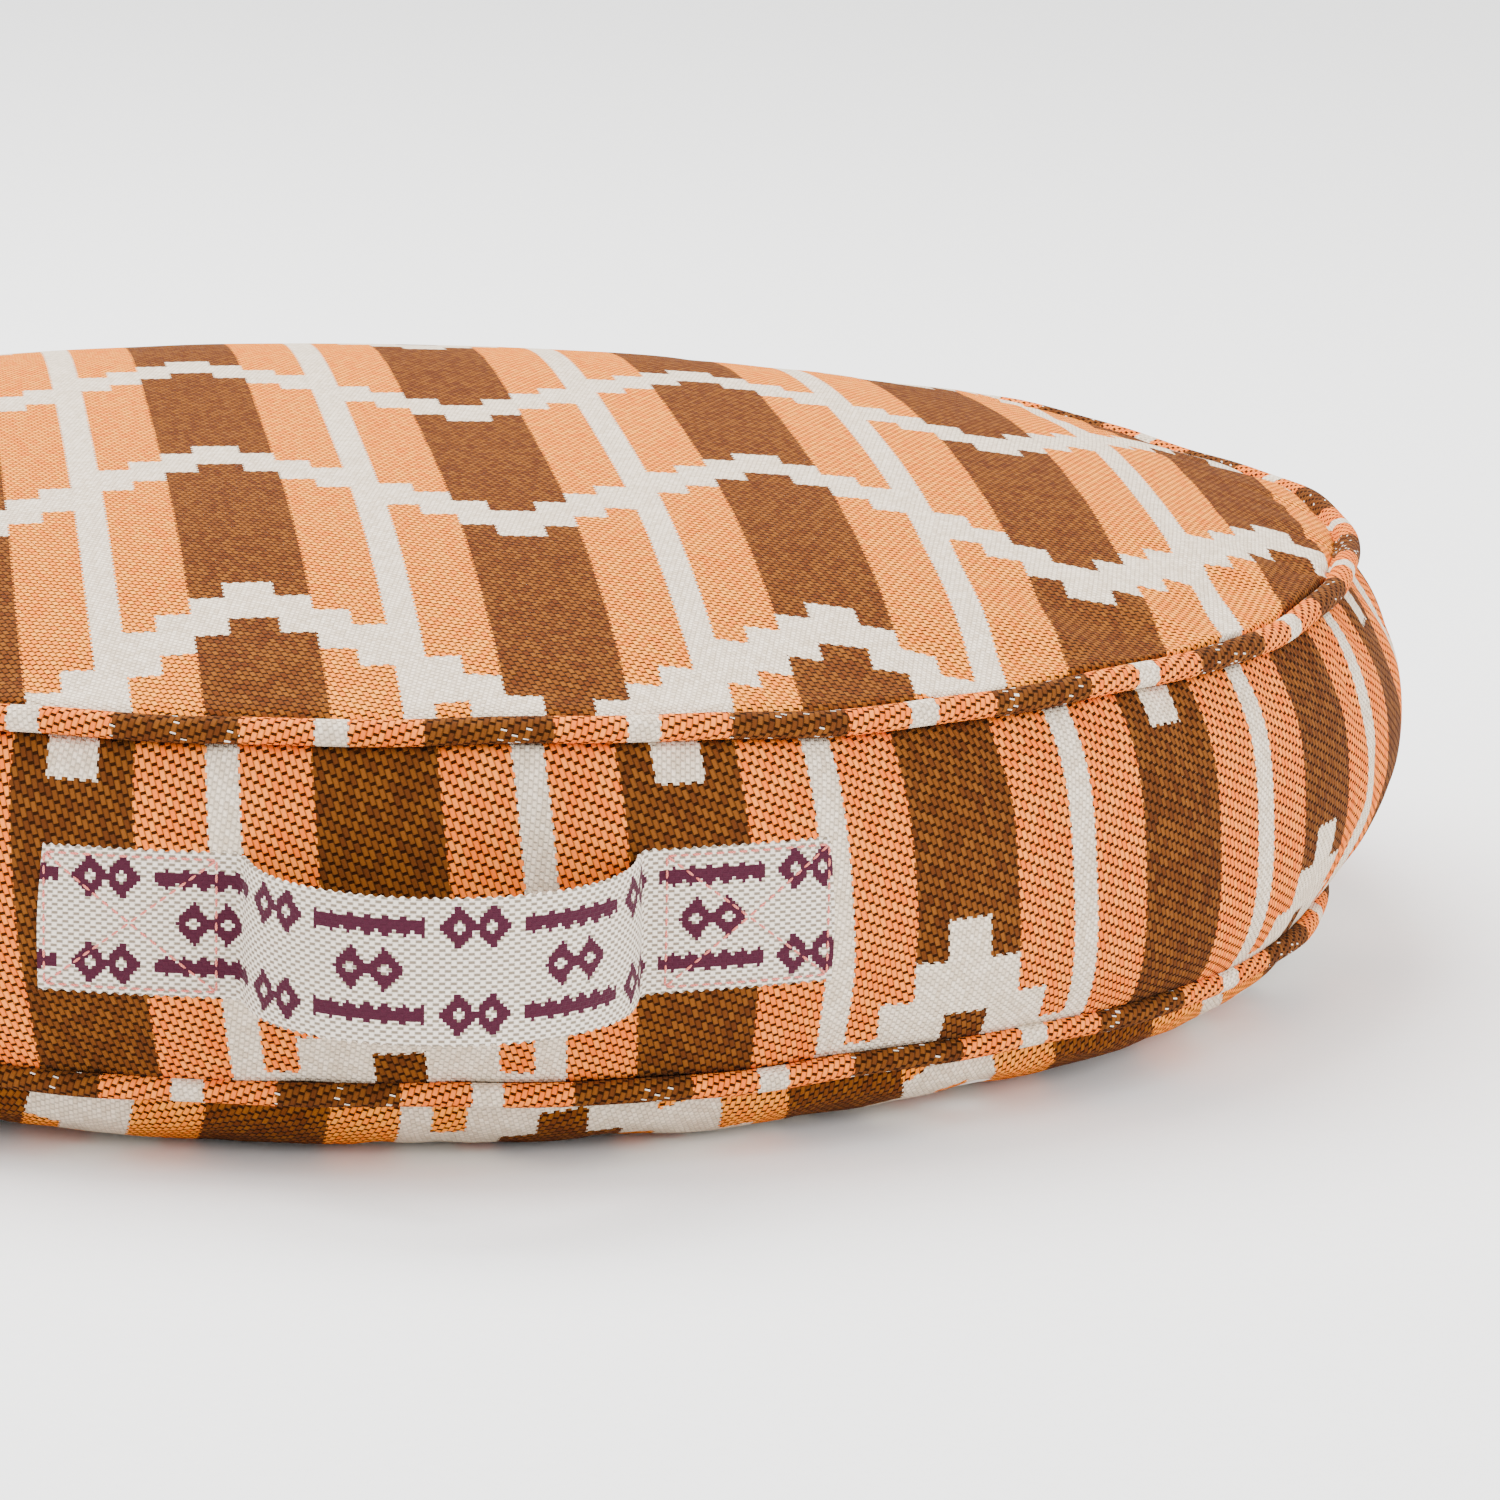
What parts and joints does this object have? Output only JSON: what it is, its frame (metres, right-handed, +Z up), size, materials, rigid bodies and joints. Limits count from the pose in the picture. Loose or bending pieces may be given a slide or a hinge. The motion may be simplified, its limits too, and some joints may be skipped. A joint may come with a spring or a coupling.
{
  "type": "floor cushion",
  "caption": "Round box-edge floor cushion in striped zigzag jacquard with piped seams, a side webbing carry handle, a rear zip and a fibre-filled inner pad.",
  "frame": {"origin": "centre of the flat patch the cushion rests on, on the cushion's own axis", "axes": "+Z up along the cushion's axis, -Y towards the carry handle, +X to the right when facing the handle"},
  "size_m": [0.606, 0.6408, 0.145],
  "materials": {
    "cloth": "matte",
    "cord": "matte",
    "tape": "matte",
    "coil": "satin",
    "metal": "satin",
    "webbing": "matte",
    "thread": "matte",
    "liner": "matte",
    "fill": "matte"
  },
  "bodies": {
    "cover": {"top_panel": "cloth", "bottom_panel": "cloth", "border_front": "cloth", "zip_strip_upper": "cloth", "zip_strip_lower": "cloth", "piping_cover_top": "cloth", "piping_cover_bottom": "cloth", "piping_cord_top": "cord", "piping_cord_bottom": "cord", "zip_tape_upper": "tape", "zip_tape_lower": "tape", "zip_coil_upper": "coil", "zip_coil_lower": "coil", "handle_anchor_left": "webbing", "handle_anchor_right": "webbing", "box_stitch_left": "thread", "box_stitch_right": "thread", "liner_top": "liner", "liner_bottom": "liner", "liner_border": "liner", "fibre_fill": "fill"},
    "handle_loop": {"handle_loop": "webbing"},
    "zip_slider": {"zip_slider": "metal"},
    "zip_pull": {"zip_pull": "metal"}
  },
  "joints": [
    {"name": "handle_swing", "type": "hinge", "parent": "cover", "child": "handle_loop", "pos_m": [0, -0.29885, 0.06775], "axis": [-1, 0, 0], "range_deg": [-40, 40], "stiffness_Nm_per_rad": 0.05},
    {"name": "zip_run", "type": "hinge", "parent": "cover", "child": "zip_slider", "pos_m": [0, 0, 0.06775], "axis": [0, 0, 1], "range_deg": [0, 122]},
    {"name": "pull_swing", "type": "hinge", "parent": "zip_slider", "child": "zip_pull", "pos_m": [0.26737, 0.14821, 0.06775], "axis": [0, 0, -1], "range_deg": [0, 175]}
  ]
}
